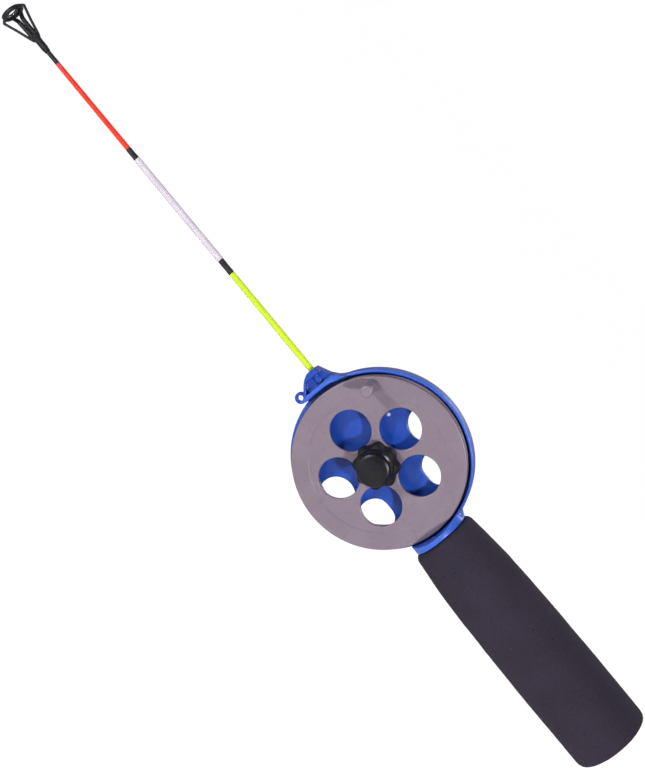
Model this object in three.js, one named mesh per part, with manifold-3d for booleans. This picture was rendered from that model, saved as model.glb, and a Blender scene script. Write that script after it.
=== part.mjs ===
// Ice fishing rod with an inline reel, in millimetres, +Z up.
// Origin: the centre of the grip's flat end, on the handle's axis.
// +X runs from the rod tip towards the handle and the reel's axle lies along Y. The reel's
// front is -Y, where the spool's open face and the drag knob look. Its upper rim is on +Z.
// All places below are measured from the reel's axle. The whole rod is moved at the end.
import * as THREE from "three";
import { mergeVertices, toCreasedNormals } from "three/addons/utils/BufferGeometryUtils.js";
import Module from "manifold-3d";

const wasm = await Module();
wasm.setup();

// ---------------------------------------------------------------- shared dimensions
// Spool flanges and the bushing they turn on
const SPOOL_FRONT_Y = -5.7;
const FLANGE_T = 2.0;
const BUSH_OUT_R = 4.0;
const BUSH_IN_R = 2.6;

// Axle screw, M5
const BOLT_R = 2.5;
const BOLT_HEAD_AF = 8.0; // across flats

// Collar at the reel's end of the handle, and the whole grip
const COLLAR_R = 12.9;
const GRIP_END_X = 153.3;

// Height of the whip's axis, which is parallel to X
const WHIP_Z = 2.5;

// ---------------------------------------------------------------- solids
const MERGE_TOLERANCE = 1e-4;
const CREASE_DEG = 35;
const CUT = 1; // how far a cutting body stands out of the face it cuts

const rad = (deg) => (deg * Math.PI) / 180;
const polar = (r, deg) => [r * Math.cos(rad(deg)), r * Math.sin(rad(deg))];
const hexCornerR = (acrossFlats) => acrossFlats / Math.sqrt(3);

// A closed surface as a solid. It may face either way, so a negative volume is turned over.
function solid(geometry) {
  geometry.deleteAttribute("normal");
  geometry.deleteAttribute("uv");
  const merged = mergeVertices(geometry, MERGE_TOLERANCE);
  const index = merged.index.array;
  const triangles = [];
  for (let i = 0; i < index.length; i += 3) {
    const [a, b, c] = [index[i], index[i + 1], index[i + 2]];
    if (a !== b && b !== c && c !== a) triangles.push([a, b, c]);
  }
  const build = (list) =>
    new wasm.Manifold(
      new wasm.Mesh({
        numProp: 3,
        vertProperties: new Float32Array(merged.attributes.position.array),
        triVerts: new Uint32Array(list.flat()),
      }),
    );
  const body = build(triangles);
  return body.volume() > 0 ? body : build(triangles.map(([a, b, c]) => [a, c, b]));
}

function geometryOf(body) {
  const mesh = body.getMesh();
  const geometry = new THREE.BufferGeometry();
  geometry.setAttribute("position", new THREE.BufferAttribute(mesh.vertProperties, 3));
  geometry.setIndex(new THREE.BufferAttribute(mesh.triVerts, 1));
  return geometry;
}

// A surface turned about +Y: profile points are [radius, y].
const lathe = (profile, segments) =>
  new THREE.LatheGeometry(profile.map(([r, y]) => new THREE.Vector2(r, y)), segments);

const turnedY = (profile, segments) => solid(lathe(profile, segments));

// Turned about +X: profile points are [x, radius].
const turnedX = (profile, segments) =>
  solid(lathe(profile.map(([x, r]) => [r, x]), segments).rotateZ(-Math.PI / 2));

const cylinderY = (y0, y1, r, segments) => turnedY([[0, y0], [r, y0], [r, y1], [0, y1]], segments);

const taperX = (x0, x1, r0, r1, segments) => turnedX([[x0, 0], [x0, r0], [x1, r1], [x1, 0]], segments);

const tubeY = (y0, y1, outR, inR, segments) =>
  turnedY([[inR, y0], [outR, y0], [outR, y1], [inR, y1], [inR, y0]], segments);

// A flat shape drawn in (X, Z) and given thickness from y0 to y1.
function plate(shape, y0, y1, curveSegments = 24) {
  const settings = { depth: y1 - y0, bevelEnabled: false, curveSegments };
  const geometry = new THREE.ExtrudeGeometry(shape, settings);
  return solid(geometry.rotateX(Math.PI / 2).translate(0, y1, 0));
}

// A flat shape drawn in (X, Y) and given thickness from z0 to z1.
function uprightRib(points, z0, z1) {
  const settings = { depth: z1 - z0, bevelEnabled: false };
  return solid(new THREE.ExtrudeGeometry(outline(points), settings).translate(0, 0, z0));
}

function disc(x, z, r) {
  const shape = new THREE.Shape();
  shape.absarc(x, z, r, 0, 2 * Math.PI, false);
  return shape;
}

function outline(points) {
  return new THREE.Shape(points.map(([x, y]) => new THREE.Vector2(x, y)));
}

function box([x0, x1], [y0, y1], [z0, z1]) {
  const geometry = new THREE.BoxGeometry(x1 - x0, y1 - y0, z1 - z0);
  return solid(geometry.translate((x0 + x1) / 2, (y0 + y1) / 2, (z0 + z1) / 2));
}

// A round wire along a path of points.
function wire({ points, r, sides, steps }) {
  const places = points.map((point) => new THREE.Vector3(...point));
  const extrudePath = new THREE.CatmullRomCurve3(places, false, "centripetal");
  const corners = Array.from({ length: sides }, (_, i) => polar(r, (360 * i) / sides));
  const settings = { steps, bevelEnabled: false, extrudePath };
  return solid(new THREE.ExtrudeGeometry(outline(corners), settings));
}

function piece(name, body, material, parent) {
  const mesh = new THREE.Mesh(toCreasedNormals(geometryOf(body), rad(CREASE_DEG)), material);
  mesh.name = name;
  parent.add(mesh);
  return mesh;
}

// ---------------------------------------------------------------- materials
const standard = (settings) => new THREE.MeshStandardMaterial(settings);
const BLUE = standard({ color: 0x2f56c4, roughness: 0.35 });
const TAUPE = standard({ color: 0x98868f, roughness: 0.5 });
const BLACK_PLASTIC = standard({ color: 0x29272b, roughness: 0.42 });
const FOAM = standard({ color: 0x38333c, roughness: 0.92 });
const LIME = standard({ color: 0xc4de3f, roughness: 0.35 });
const WHITE = standard({ color: 0xcfc8d0, roughness: 0.4 });
const RED = standard({ color: 0xf34a3a, roughness: 0.35 });
const BAND = standard({ color: 0x242226, roughness: 0.45 });
const CORE = standard({ color: 0x1d1c1f, roughness: 0.4 });
const GUIDE = standard({ color: 0x2b282d, roughness: 0.4, metalness: 0.3 });
const CERAMIC = standard({ color: 0x4b484e, roughness: 0.2 });
const STEEL = standard({ color: 0xb7babd, roughness: 0.32, metalness: 1 });
const BRASS = standard({ color: 0xb8924a, roughness: 0.35, metalness: 1 });
const FIBRE = standard({ color: 0x7a5a3c, roughness: 0.85 });

// ---------------------------------------------------------------- reel frame
const PLATE_Y0 = 2.4;
const PLATE_Y1 = 4.5;
const PLATE_Y = [PLATE_Y0, PLATE_Y1];
const RIM_OUT_R = 39.9;
const RIM_IN_R = 38.6;
const RIM_FRONT_Y = -2.7;
const RIM_FROM_DEG = 15;
const RIM_TO_DEG = 163;
const OPENING_R = 8.0;
const OPENING_PITCH_R = 25.4;
const OPENING_DEGS = [45, 90, -45, -90];
const ARM_Z = [-10.6, 10.6];
const COLLAR_X0 = 35.5;
const COLLAR_X1 = 40.8;
const COLLAR_CHAMFER = 0.3;
const TANG_R = 5.5;
const TANG_END_X = 116;
const LUG_FRONT_Y = -3.6;
const LUG_POCKET_Y = -2.1;
const LUG_RIB_FRONT_Y = -4.5;
const LUG_RIB_X0 = -41.3;
const SOCKET_R = 1.42;
const SOCKET_WALL_R = 2.15;
const SOCKET_END_X = -41.4;
const EYELET_AT = [-42.1, -9.6]; // [x, z]
const EYELET_OUT_R = 2.6;
const EYELET_IN_R = 1.2;
const REAR_RIB_Y = 4.0; // the rear ribs start inside the plate
const RIB_END_X = COLLAR_X1 - 0.8;

// Outlines in [x, z]
const RIM_CORNER = [[35.5, 10.4], [40.2, 10.4], [40.2, 12.4], [38.6, 13.2], [36.2, 14.6]];
const LUG_OUTLINE = [
  [-48.3, 0.7], [-48.3, 4.7], [-42.5, 7.5], [-40.0, 9.6], [-38.0, 10.8], [-37.4, 10.0],
  [-38.9, 6.0], [-39.2, 2.0], [-39.2, -7.9], [-40.4, -8.6], [-41.4, -7.4], [-42.9, -6.1],
  [-44.1, -4.9], [-45.6, -3.6], [-46.9, -2.1], [-47.8, -0.6],
];
const LUG_POCKET = [
  [-45.7, -2.2], [-44.2, -3.5], [-42.6, -4.8], [LUG_RIB_X0, -5.6], [LUG_RIB_X0, 12.0],
  [-45.7, 12.0],
];

// Outlines of the ribs behind the plate in [x, y]
const HANDLE_RIB = [
  [5, REAR_RIB_Y], [RIB_END_X, REAR_RIB_Y], [RIB_END_X, 11.5], [30, 7.4], [5, 7.4],
];
const WHIP_RIB = [[-38.5, REAR_RIB_Y], [-5, REAR_RIB_Y], [-5, 7.0], [-34, 6.0], [-38.5, 5.6]];
const SIDE_RIB = [
  [14, REAR_RIB_Y], [RIB_END_X, REAR_RIB_Y], [RIB_END_X, 7.2], [34, 6.4], [14, 5.6],
];
const SIDE_RIB_T = 1.8;
const SIDE_RIB_Z0S = [-10.4, 8.6];

// Plate behind the spool, with round openings that stop at the straight arm to the handle.
function backPlate() {
  let body = plate(disc(0, 0, RIM_OUT_R), ...PLATE_Y, 48);
  const armKeep = box([0, 50], [PLATE_Y0 - CUT, PLATE_Y1 + CUT], ARM_Z);
  for (const angle of OPENING_DEGS) {
    const opening = disc(...polar(OPENING_PITCH_R, angle), OPENING_R);
    body = body.subtract(plate(opening, PLATE_Y0 - 0.5, PLATE_Y1 + 0.5, 18).subtract(armKeep));
  }
  return body.add(box([30, COLLAR_X1 - 0.3], PLATE_Y, ARM_Z));
}

// Upper wall around the spool.
function rimWall() {
  const shape = new THREE.Shape();
  shape.absarc(0, 0, RIM_OUT_R, rad(RIM_FROM_DEG), rad(RIM_TO_DEG), false);
  shape.absarc(0, 0, RIM_IN_R, rad(RIM_TO_DEG), rad(RIM_FROM_DEG), true);
  shape.closePath();
  return plate(shape, RIM_FRONT_Y, PLATE_Y0 + 0.6, 36);
}

// Lug on the tip side that holds the whip, with a pocket open to the front, a straight rib
// on the spool's side and a round wall for the whip's socket.
function whipLug(spoolRoom) {
  const pocket = plate(outline(LUG_POCKET), LUG_FRONT_Y - CUT, LUG_POCKET_Y);
  const rib = box([LUG_RIB_X0, -39.4], [LUG_RIB_FRONT_Y, PLATE_Y0], [-6.6, 10.2]);
  const socketWall = turnedX([
    [-48.3, 0], [-48.3, SOCKET_WALL_R - 0.3], [-48.0, SOCKET_WALL_R], [-42, SOCKET_WALL_R],
    [-42, 0],
  ], 24);
  return plate(outline(LUG_OUTLINE), LUG_FRONT_Y, PLATE_Y1)
    .subtract(spoolRoom)
    .subtract(pocket)
    .add(rib.subtract(spoolRoom))
    .add(socketWall.translate([0, 0, WHIP_Z]));
}

// Eyelet below the lug.
function eyelet() {
  const shape = disc(...EYELET_AT, EYELET_OUT_R);
  const eye = new THREE.Path();
  eye.absarc(...EYELET_AT, EYELET_IN_R, 0, 2 * Math.PI, true);
  shape.holes.push(eye);
  return plate(shape, 0.4, 2.9, 12);
}

// Collar next to the grip, hollowed in front of the plate and behind it.
function collar() {
  return turnedX([
    [COLLAR_X0, 0], [COLLAR_X0, COLLAR_R], [COLLAR_X1 - COLLAR_CHAMFER, COLLAR_R],
    [COLLAR_X1, COLLAR_R - COLLAR_CHAMFER], [COLLAR_X1, 0],
  ], 48)
    .subtract(cylinderY(-30, PLATE_Y0, RIM_IN_R, 96))
    .subtract(cylinderY(PLATE_Y1 - 0.4, 30, RIM_IN_R, 96));
}

// Tang that the grip is pushed onto.
function tang() {
  const startX = COLLAR_X1 - 0.5;
  return turnedX([
    [startX, 0], [startX, TANG_R], [TANG_END_X - 4, TANG_R], [TANG_END_X, TANG_R - 2],
    [TANG_END_X, 0],
  ], 24);
}

function reelFrame() {
  const spoolRoom = cylinderY(-20, PLATE_Y0, RIM_IN_R, 96);
  // Corner where the rim wall runs into the collar
  const rimCorner = plate(outline(RIM_CORNER), RIM_FRONT_Y, PLATE_Y1 - 0.2).subtract(spoolRoom);
  const frontBoss = cylinderY(1.6, 3.5, 7.5, 36);
  const rearBoss = turnedY([[0, 3.5], [8.0, 3.5], [8.0, 7.6], [7.6, 8.0], [0, 8.0]], 36);
  const added = [
    rimWall(),
    rimCorner,
    whipLug(spoolRoom),
    eyelet(),
    collar(),
    tang(),
    frontBoss,
    rearBoss,
    uprightRib(HANDLE_RIB, -1.5, 1.5),
    uprightRib(WHIP_RIB, -1.3, 1.3),
    ...SIDE_RIB_Z0S.map((z0) => uprightRib(SIDE_RIB, z0, z0 + SIDE_RIB_T)),
  ];
  const headPocket = cylinderY(4.3, 9, hexCornerR(BOLT_HEAD_AF + 0.3), 6);
  const screwHole = cylinderY(0, 5, BOLT_R + 0.1, 32);
  const whipSocket = taperX(-49, SOCKET_END_X, SOCKET_R, SOCKET_R, 16).translate([0, 0, WHIP_Z]);
  return added
    .reduce((body, part) => body.add(part), backPlate())
    .subtract(headPocket)
    .subtract(screwHole)
    .subtract(whipSocket);
}

// ---------------------------------------------------------------- grip
const GRIP_START_X = 41.1;
const GRIP_BORE_R = 5.8;
const GRIP_BORE_END_X = 118;

// Outside of the grip from the reel to the flat end, in [x, radius]
const GRIP_PROFILE = [
  [GRIP_START_X, COLLAR_R], [41.3, 13.5], [42.0, 14.2], [43.1, 14.7], [46.3, 15.0],
  [50, 15.4], [58, 16.1], [64, 16.6], [75, 17.05], [85, 17.3], [98, 17.6], [112, 17.7],
  [130, 17.7], [146, 17.65], [150.6, 17.5], [151.7, 17.2], [152.5, 16.6], [153.05, 15.8],
  [GRIP_END_X, 14.9],
];

function foamGrip() {
  return turnedX([
    [GRIP_BORE_END_X, 0], [GRIP_BORE_END_X, GRIP_BORE_R], [GRIP_START_X, GRIP_BORE_R],
    ...GRIP_PROFILE, [GRIP_END_X, 0],
  ], 40);
}

// ---------------------------------------------------------------- axle stack
const SPRING_Y = -7.35;
const SPRING_IN_R = 3.2;
const SPRING_OUT_R = 6.2;
const SPRING_HALF_T = 0.2;
const SPRING_WAVES = 3;
const SPRING_WAVE_HEIGHT = 0.72; // each way from the middle
const FIBRE_WASHER_IN_R = BUSH_IN_R + 0.1;

function axleBolt() {
  const headR = hexCornerR(BOLT_HEAD_AF);
  const head = turnedY([[0, 4.45], [headR, 4.45], [headR, 7.6], [headR - 0.3, 7.9], [0, 7.9]], 6);
  const shank = turnedY([
    [0, -14.9], [BOLT_R - 0.5, -14.9], [BOLT_R, -14.4], [BOLT_R, 4.6], [0, 4.6],
  ], 32);
  return head.add(shank);
}

// Wave spring: a thin flat ring bent into waves.
function waveSpring() {
  const ring = lathe([
    [SPRING_IN_R, -SPRING_HALF_T], [SPRING_OUT_R, -SPRING_HALF_T],
    [SPRING_OUT_R, SPRING_HALF_T], [SPRING_IN_R, SPRING_HALF_T],
    [SPRING_IN_R, -SPRING_HALF_T],
  ], 48);
  const position = ring.attributes.position;
  for (let i = 0; i < position.count; i++) {
    const angle = Math.atan2(position.getZ(i), position.getX(i));
    position.setY(i, position.getY(i) + SPRING_WAVE_HEIGHT * Math.sin(SPRING_WAVES * angle));
  }
  return solid(ring);
}

// ---------------------------------------------------------------- spool
const SPOOL_R = 37.5;
const SPOOL_REAR_Y = 0.9;
const SPOOL_BORE_R = BUSH_OUT_R + 0.07;
const DRUM_OUT_R = 30.0;
const DRUM_IN_R = 28.0;
const HUB_R = 8.2;
const SPOOL_HOLE_R = 9.0;
const SPOOL_HOLE_PITCH_R = 18.1;
const SPOOL_HOLES = 5;
const WIND_PIN_R = 1.25;
const [WIND_X, WIND_Z] = polar(33.65, 143.1);

function spool() {
  const webY = SPOOL_FRONT_Y + FLANGE_T; // rear face of the front flange
  const rearY = SPOOL_REAR_Y - FLANGE_T; // front face of the rear flange
  let body = turnedY([
    [SPOOL_BORE_R, SPOOL_FRONT_Y], [SPOOL_R - 0.5, SPOOL_FRONT_Y],
    [SPOOL_R, SPOOL_FRONT_Y + 0.5], [SPOOL_R, webY - 0.3], [SPOOL_R - 0.3, webY],
    [DRUM_OUT_R, webY], [DRUM_OUT_R, rearY],
    [SPOOL_R - 0.3, rearY], [SPOOL_R, rearY + 0.3], [SPOOL_R, SPOOL_REAR_Y - 0.4],
    [SPOOL_R - 0.4, SPOOL_REAR_Y], [DRUM_IN_R, SPOOL_REAR_Y],
    [DRUM_IN_R, webY], [HUB_R, webY], [HUB_R, SPOOL_REAR_Y],
    [SPOOL_BORE_R, SPOOL_REAR_Y], [SPOOL_BORE_R, SPOOL_FRONT_Y],
  ], 72);
  for (let i = 0; i < SPOOL_HOLES; i++) {
    const place = polar(SPOOL_HOLE_PITCH_R, 180 + (360 / SPOOL_HOLES) * i);
    const hole = plate(disc(...place, SPOOL_HOLE_R), SPOOL_FRONT_Y - CUT, webY + 0.5, 18);
    body = body.subtract(hole);
  }
  const pinHole = cylinderY(SPOOL_FRONT_Y - CUT, webY + CUT, WIND_PIN_R + 0.06, 20);
  return body.subtract(pinHole.translate([WIND_X, 0, WIND_Z]));
}

// ---------------------------------------------------------------- winding knob
// Drawn with y = 0 on the spool's front face.
const WIND_LENGTH = 15.2;
const WIND_BORE_R = WIND_PIN_R + 0.08;

// Pin with a wider head inside the knob.
function windingKnobPin() {
  return turnedY([
    [0, FLANGE_T - 0.05], [WIND_PIN_R, FLANGE_T - 0.05], [WIND_PIN_R, -9.0], [1.6, -9.15],
    [1.6, -9.45], [0.9, -10.1], [0, -10.1],
  ], 20);
}

function windingKnob() {
  const outside = [
    [2.5, -0.2], [2.7, -0.45], [2.6, -1.3], [2.42, -4.0], [2.4, -7.5], [2.5, -11.0],
    [2.68, -13.4], [2.66, -14.3], [2.35, -14.9], [1.6, -WIND_LENGTH + 0.1], [0, -WIND_LENGTH],
  ];
  const headRoom = [[0, -10.4], [1.75, -10.4], [1.75, -8.85], [WIND_BORE_R, -8.7]];
  return turnedY([[WIND_BORE_R, -0.2], ...outside, ...headRoom, [WIND_BORE_R, -0.2]], 28);
}

// ---------------------------------------------------------------- drag knob
const STAR_R = 10.3;
const STAR_VALLEY_R = 8.9;
const STAR_LOBES = 8;
const STAR_PHASE_DEG = 4;
const LOBE_END_Y = -12.6; // the lobes fade out here, over the length LOBE_FADE
const LOBE_FADE = 1.6;
const CAP_R = 7.5;
const KNOB_REAR_Y = -6.3;

// Low star and the round cap in front of it, in [radius, y]
const KNOB_PROFILE = [
  [0, KNOB_REAR_Y], [STAR_R - 0.6, KNOB_REAR_Y], [STAR_R, -6.9], [STAR_R, -9.6],
  [STAR_R - 0.5, -10.8], [9.0, -11.6], [CAP_R + 0.4, -12.0], [CAP_R, LOBE_END_Y],
  [CAP_R - 0.05, -14.2], [7.1, -15.4], [6.3, -16.3], [5.0, -16.9], [3.2, -17.25],
  [1.5, -17.45], [0, -17.5],
];

// Stepped bore from the rear: [radius, y of its end, segments]
const KNOB_BORES = [[6.9, -9.3, 36], [4.0, -14.1, 32], [2.9, -15.5, 32]];

function dragKnob() {
  const star = lathe(KNOB_PROFILE, 56);
  const position = star.attributes.position;
  const depth = 1 - STAR_VALLEY_R / STAR_R;
  for (let i = 0; i < position.count; i++) {
    const [x, y, z] = [position.getX(i), position.getY(i), position.getZ(i)];
    if (Math.hypot(x, z) < 1e-6) continue;
    const fade = THREE.MathUtils.clamp((y - LOBE_END_Y) / LOBE_FADE, 0, 1);
    const angle = Math.atan2(z, x) - rad(STAR_PHASE_DEG);
    const scale = 1 - depth * fade * 0.5 * (1 - Math.cos(STAR_LOBES * angle));
    position.setX(i, x * scale);
    position.setZ(i, z * scale);
  }
  return KNOB_BORES.reduce(
    (body, [r, endY, segments]) => body.subtract(cylinderY(-5, endY, r, segments)),
    solid(star),
  );
}

// ---------------------------------------------------------------- whip
const CORE_ROOT_R = 0.95;
const CORE_TIP_R = 0.5;
const CORE_ROOT_X = -41.6;
const CORE_TIP_X = -230.4;
const SLEEVE_GAP = 0.08;

// Sleeves from root to tip: [name, root x, tip x, root radius, tip radius, material]
const SLEEVES = [
  ["lime_sleeve", CORE_ROOT_X, -101.4, 1.35, 1.22, LIME],
  ["lower_band", -101.5, -108.7, 1.3, 1.3, BAND],
  ["white_sleeve", -108.8, -164.6, 1.45, 1.38, WHITE],
  ["upper_band", -164.7, -170.2, 1.22, 1.18, BAND],
  ["red_sleeve", -170.3, -217.4, 1.1, 0.95, RED],
  ["tip_wrap", -217.5, -223.9, 0.93, 0.93, BAND],
];

// Bore of a sleeve at x: the tapering core's radius and a gap.
function sleeveBoreR(x) {
  const along = (CORE_ROOT_X - x) / (CORE_ROOT_X - CORE_TIP_X);
  return CORE_ROOT_R + (CORE_TIP_R - CORE_ROOT_R) * along + SLEEVE_GAP;
}

function sleeve(rootX, tipX, rootR, tipR) {
  const tipBore = [tipX, sleeveBoreR(tipX)];
  return turnedX([tipBore, [tipX, tipR], [rootX, rootR], [rootX, sleeveBoreR(rootX)], tipBore], 16);
}

// ---------------------------------------------------------------- tip guide
const CAGE_TILT_DEG = -3.8; // the cage leans a little from the whip's axis
const CAGE_PIVOT_X = -231;
const RING_X0 = -247.9;
const RING_X1 = -246.1;
const RING_IN_R = 3.55;

// Wires on the +Z side, repeated on the -Z side. Points are [x, y, z].
const CAGE_WIRES = [
  {
    r: 0.6, sides: 8, steps: 14,
    points: [
      [-230.8, 0, 0.9], [-232.2, 0, 1.9], [-238.8, 0, 3.8], [-244.6, 0, 5.5],
      [-245.9, 0, 5.75], [-247.1, 0, 4.5],
    ],
  },
  {
    r: 0.95, sides: 10, steps: 6,
    points: [[-230.8, 0.5, 0.55], [-233.0, 0.9, 0.9], [-237.0, 1.6, 0.95], [-241.4, 2.4, 1.05]],
  },
  {
    r: 0.75, sides: 8, steps: 6,
    points: [[-240.8, 2.3, 0.95], [-242.4, 2.65, 1.25], [-244.4, 3.0, 2.0], [-246.9, 3.2, 2.75]],
  },
];

const tilted = (body) =>
  body
    .translate([-CAGE_PIVOT_X, 0, 0])
    .rotate([0, CAGE_TILT_DEG, 0])
    .translate([CAGE_PIVOT_X, 0, 0]);

function tipGuide() {
  const ferrule = turnedX([
    [-233.0, 0], [-233.0, 2.1], [-231.0, 1.55], [-224.3, 1.55], [-224.0, 1.35], [-224.0, 0],
  ], 16);
  let cage = turnedX([
    [RING_X1, RING_IN_R], [RING_X1, 4.7], [RING_X1 - 0.3, 5.0], [RING_X0 + 0.4, 5.0],
    [RING_X0, 4.7], [RING_X0, RING_IN_R], [RING_X1, RING_IN_R],
  ], 32);
  for (const side of [-1, 1]) {
    for (const { points, ...form } of CAGE_WIRES) {
      const placed = points.map(([x, y, z]) => [x, y, z * side]);
      cage = cage.add(wire({ points: placed, ...form }));
    }
  }
  return ferrule.add(tilted(cage)).subtract(taperX(-223, -230.6, 0.62, 0.62, 16));
}

function tipRingInsert() {
  return tilted(turnedX([
    [-246.1, 2.75], [-246.3, 2.2], [-246.7, 1.9], [-247.2, 1.9], [-247.6, 2.2],
    [-247.8, 2.75], [-247.6, 3.35], [-246.3, 3.35], [-246.1, 2.75],
  ], 32));
}

// ---------------------------------------------------------------- assembly
function group(parent, x = 0, y = 0, z = 0) {
  const made = new THREE.Group();
  made.position.set(x, y, z);
  parent.add(made);
  return made;
}

const part = new THREE.Group();
const rod = group(part, -GRIP_END_X); // moves the origin from the axle to the grip's end
piece("reel_frame", reelFrame(), BLUE, rod);
piece("foam_grip", foamGrip(), FOAM, rod);

const axle = group(rod);
piece("axle_bolt", axleBolt(), STEEL, axle);
piece("spool_bushing", tubeY(-5.6, 0.95, BUSH_OUT_R, BUSH_IN_R, 48), BRASS, axle);
piece("rear_washer", tubeY(1.0, 1.5, 7.0, FIBRE_WASHER_IN_R, 32), FIBRE, axle);
piece("front_washer", tubeY(-6.25, -5.75, 6.5, FIBRE_WASHER_IN_R, 32), FIBRE, axle);
piece("drag_spring", waveSpring(), STEEL, axle).position.y = SPRING_Y;
piece("thrust_washer", tubeY(-9.2, -8.45, 6.4, BUSH_IN_R, 32), STEEL, axle);

const spoolGroup = group(rod);
piece("spool", spool(), TAUPE, spoolGroup);
const winder = group(spoolGroup, WIND_X, SPOOL_FRONT_Y, WIND_Z);
piece("winding_knob_pin", windingKnobPin(), STEEL, winder);
piece("winding_knob", windingKnob(), TAUPE, winder);

piece("drag_knob", dragKnob(), BLACK_PLASTIC, rod);
piece("knob_insert", tubeY(-14.0, -9.4, 3.9, BOLT_R + 0.06, 32), BRASS, rod);

const whip = group(rod, 0, 0, WHIP_Z);
const whipCore = taperX(CORE_TIP_X, CORE_ROOT_X, CORE_TIP_R, CORE_ROOT_R, 16);
piece("whip_core", whipCore, CORE, whip);
for (const [name, rootX, tipX, rootR, tipR, material] of SLEEVES) {
  piece(name, sleeve(rootX, tipX, rootR, tipR), material, whip);
}
piece("tip_guide", tipGuide(), GUIDE, whip);
piece("tip_ring_insert", tipRingInsert(), CERAMIC, whip);

export default part;
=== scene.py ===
"""Looks for an ice fishing rod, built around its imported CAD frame.

Shapes are worked out in millimetres from the reel's axle: +Z up, the axle along Y with the front
at -Y, the whip towards -X and the grip towards +X. They become metres in the part's own frame
when a mesh is made. Moulded pieces are distance fields turned into fine meshes; turned pieces
are lathe forms.
"""
import math
from concurrent.futures import ThreadPoolExecutor

import bpy
import numpy as np
from mathutils import Matrix, Vector


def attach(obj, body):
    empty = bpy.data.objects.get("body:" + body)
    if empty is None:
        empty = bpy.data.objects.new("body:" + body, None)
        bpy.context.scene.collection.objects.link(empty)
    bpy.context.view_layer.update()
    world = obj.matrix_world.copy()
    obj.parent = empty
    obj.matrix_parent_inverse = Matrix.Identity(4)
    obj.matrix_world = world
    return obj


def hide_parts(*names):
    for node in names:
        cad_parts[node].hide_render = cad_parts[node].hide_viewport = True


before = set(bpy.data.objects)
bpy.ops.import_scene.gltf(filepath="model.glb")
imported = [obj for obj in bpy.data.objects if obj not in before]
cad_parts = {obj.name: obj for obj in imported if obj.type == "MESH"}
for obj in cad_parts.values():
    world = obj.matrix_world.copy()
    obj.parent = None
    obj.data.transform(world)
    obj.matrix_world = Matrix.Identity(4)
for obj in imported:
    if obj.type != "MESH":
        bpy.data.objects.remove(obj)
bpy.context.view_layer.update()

# ---------------------------------------------------------------- shared sizes, mm
MM = 0.001                                # metres in a millimetre
AXLE_X = -153.3                           # the axle's X in the part's frame
WHIP_Z = 2.5                              # height of the whip's centre line
SPOOL_FRONT, SPOOL_BACK = -5.7, 0.9       # Y of the spool's faces
WIND = (-26.909, SPOOL_FRONT, 20.204)     # foot of the winding knob
GATE_X, GATE_Z = -13.1, 15.3              # moulding gate nub on the back plate


# ---------------------------------------------------------------- seeded noise
def lattice_value(ix, iy, iz, seed):
    """A repeatable value in -1..1 for each lattice point."""
    bits = (ix * 374761393 + iy * 668265263 + iz * 2147483647 + seed * 974711) & 0xFFFFFFFF
    bits = ((bits ^ (bits >> 13)) * 1274126177) & 0xFFFFFFFF
    bits = ((bits ^ (bits >> 16)) * 2246822519) & 0xFFFFFFFF
    return ((bits ^ (bits >> 15)) & 0xFFFFFF) / float(0xFFFFFF) * 2.0 - 1.0


def noise(points, size, seed):
    """Smooth value noise in -1..1 with features of the given size."""
    scaled = np.asarray(points, float) / size
    base = np.floor(scaled).astype(np.int64)
    part = scaled - base
    part = part * part * part * (part * (part * 6 - 15) + 10)
    total = np.zeros(len(scaled))
    for i in (0, 1):
        wx = part[:, 0] if i else 1 - part[:, 0]
        for j in (0, 1):
            wy = part[:, 1] if j else 1 - part[:, 1]
            for k in (0, 1):
                wz = part[:, 2] if k else 1 - part[:, 2]
                value = lattice_value(base[:, 0] + i, base[:, 1] + j, base[:, 2] + k, seed)
                total += wx * wy * wz * value
    return total


# ---------------------------------------------------------------- meshes
def volume(verts, quads, tris):
    """Signed volume, negative when the faces point inwards."""
    parts = []
    if len(quads):
        parts += [quads[:, [0, 1, 2]], quads[:, [0, 2, 3]]]
    if len(tris):
        parts.append(tris)
    faces = np.concatenate(parts)
    normals = np.cross(verts[faces[:, 1]], verts[faces[:, 2]])
    return float(np.einsum("ij,ij->i", verts[faces[:, 0]], normals).sum() / 6)


def make(name, shape, material, node, body="frame"):
    """A closed mesh in mm becomes a piece that rides on a CAD body and stands for a CAD node."""
    verts, quads, tris = shape
    quads = np.asarray(quads, np.int64).reshape(-1, 4)
    tris = np.asarray(tris, np.int64).reshape(-1, 3)
    if volume(verts, quads, tris) < 0:
        quads, tris = quads[:, ::-1], tris[:, ::-1]
    mesh = bpy.data.meshes.new(name)
    mesh.vertices.add(len(verts))
    metres = (np.asarray(verts) + (AXLE_X, 0, 0)) * MM
    mesh.vertices.foreach_set("co", metres.astype(np.float32).ravel())
    loops = np.concatenate([quads.ravel(), tris.ravel()]).astype(np.int32)
    mesh.loops.add(len(loops))
    mesh.loops.foreach_set("vertex_index", loops)
    starts = [np.arange(len(quads)) * 4, len(quads) * 4 + np.arange(len(tris)) * 3]
    starts = np.concatenate(starts).astype(np.int32)
    mesh.polygons.add(len(starts))
    mesh.polygons.foreach_set("loop_start", starts)
    mesh.update(calc_edges=True)
    mesh.validate()
    mesh.shade_smooth()
    piece = bpy.data.objects.new(name, mesh)
    bpy.context.scene.collection.objects.link(piece)
    mesh.materials.append(material)
    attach(piece, body)
    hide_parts(node)


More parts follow.
